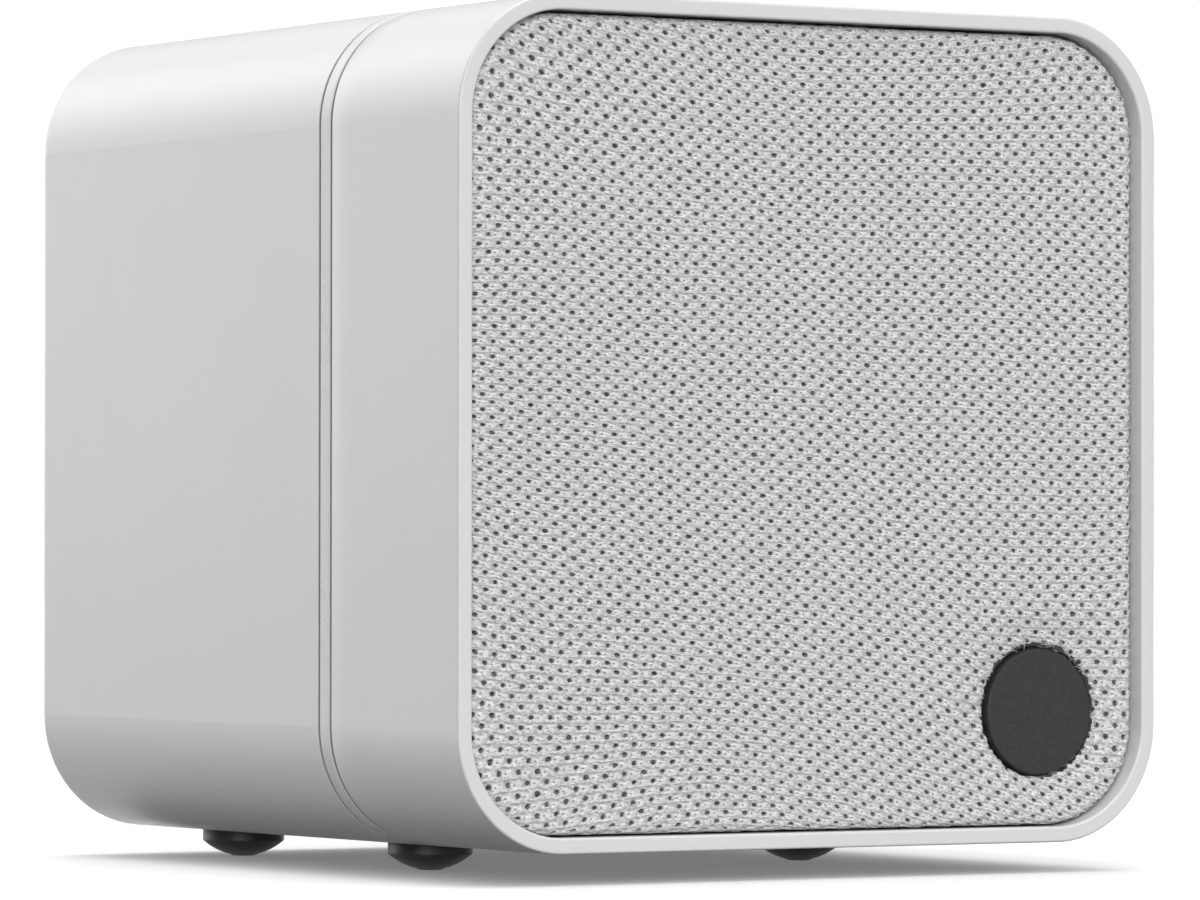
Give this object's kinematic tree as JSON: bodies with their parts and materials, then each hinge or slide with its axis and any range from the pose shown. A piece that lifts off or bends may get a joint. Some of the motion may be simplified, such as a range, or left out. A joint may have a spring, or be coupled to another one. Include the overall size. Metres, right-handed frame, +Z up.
{
  "type": "compact cube smart speaker",
  "caption": "Compact cube loudspeaker with rounded glossy shell, recessed knitted pull-off grille, round badge, domed rubber feet and rear connections.",
  "frame": {"origin": "centre of the footprint, on the surface the feet stand on", "axes": "+Z up, -Y out through the grille, +Y out of the rear wall along the wall mount's bore, +X to the right seen from the front"},
  "size_m": [0.078, 0.0832, 0.0819],
  "materials": {
    "gloss_white": "glossy white lacquered plastic",
    "trim_white": "glossy white plastic strip",
    "baffle_black": "fine matt texture",
    "frame_black": "matt",
    "knit_grey": "open knitted mesh",
    "badge_anthracite": "fine speckled powder coat",
    "rubber_black": "satin rubber",
    "seal_black": "matt foam rubber",
    "screw_black": "black zinc",
    "screw_steel": "zinc plated",
    "basket_black": "matt paint on cast alloy",
    "surround_rubber": "satin rubber",
    "spider_cloth": "resin treated weave",
    "steel_zinc": "zinc plated",
    "magnet_nickel": "nickel plated",
    "cone_paper": "pressed black paper pulp",
    "former_kraft": "kraft",
    "copper": "enamelled copper wire",
    "strip_board": "phenolic board",
    "tag_brass": "tinned brass",
    "board_green": "solder mask",
    "mic_can": "gold plated can",
    "ribbon": "flat flexible cable",
    "chip_black": "moulded epoxy",
    "heatsink_alu": "extruded",
    "shield_tin": "tinned",
    "cap_sleeve": "shrink sleeve",
    "inductor_grey": "moulded ferrite",
    "connector_nylon": "nylon",
    "wire_red": "insulated wire",
    "wire_black": "insulated wire",
    "jack_black": "moulded",
    "jack_pin": "nickel plated",
    "switch_black": "moulded",
    "switch_steel": "stamped",
    "button_grey": "satin",
    "led_white": "diffuse lens",
    "light_pipe": "clear acrylic",
    "panel_black": "fine matt texture",
    "insert_brass": "knurled brass",
    "foam_grey": "open cell acoustic foam"
  },
  "bodies": {
    "cabinet": {"cabinet_front_sleeve": "gloss_white", "seam_band": "trim_white", "cabinet_rear_shell": "gloss_white", "shell_gasket": "seal_black", "front_baffle": "baffle_black", "baffle_gasket": "seal_black", "baffle_screws": "screw_black", "grille_cups": "rubber_black", "foot_front_left": "rubber_black", "foot_front_right": "rubber_black", "foot_rear_left": "rubber_black", "foot_rear_right": "rubber_black", "driver_basket": "basket_black", "driver_gasket": "seal_black", "driver_screws": "screw_black", "surround": "surround_rubber", "spider": "spider_cloth", "yoke_cup": "steel_zinc", "magnet": "magnet_nickel", "pole_plate": "steel_zinc", "terminal_strip": "strip_board", "terminal_tags": "tag_brass", "mic_board": "board_green", "microphones": "mic_can", "mic_gaskets": "rubber_black", "mic_ribbon_cable": "ribbon", "main_board": "board_green", "board_screws": "screw_steel", "board_chips": "chip_black", "heat_sink": "heatsink_alu", "radio_module": "board_green", "radio_shield": "shield_tin", "bulk_capacitors": "cap_sleeve", "output_inductors": "inductor_grey", "board_connectors": "connector_nylon", "speaker_wire_red": "wire_red", "speaker_wire_black": "wire_black", "dc_jack": "jack_black", "dc_jack_pin": "jack_pin", "tact_switch": "switch_black", "mute_switch": "switch_steel", "status_led": "led_white", "light_pipe": "light_pipe", "rear_panel": "panel_black", "rear_panel_gasket": "seal_black", "rear_panel_screws": "screw_black", "wall_mount_insert": "insert_brass", "damping_foam": "foam_grey"},
    "grille": {"grille_frame": "frame_black", "grille_cloth": "knit_grey", "badge_disc": "badge_anthracite", "badge_clip": "screw_steel"},
    "driver_cone": {"cone": "cone_paper", "dust_cap": "cone_paper", "voice_coil_former": "former_kraft", "voice_coil_winding": "copper"},
    "button": {"pair_button": "button_grey", "tact_plunger": "switch_black"},
    "slider": {"mute_slider": "button_grey"}
  },
  "joints": [
    {"name": "grille_pull", "type": "slide", "parent": "cabinet", "child": "grille", "axis": [0, -1, 0], "range_m": [0, 0.025]},
    {"name": "cone_travel", "type": "slide", "parent": "cabinet", "child": "driver_cone", "axis": [0, -1, 0], "range_m": [-0.0015, 0.0015], "stiffness_N_per_m": 900, "deforming": ["surround", "spider"]},
    {"name": "button_press", "type": "slide", "parent": "cabinet", "child": "button", "axis": [0, -1, 0], "range_m": [0, 0.0004], "stiffness_N_per_m": 2500},
    {"name": "mute_slide", "type": "slide", "parent": "cabinet", "child": "slider", "axis": [1, 0, 0], "range_m": [0, 0.002]}
  ]
}
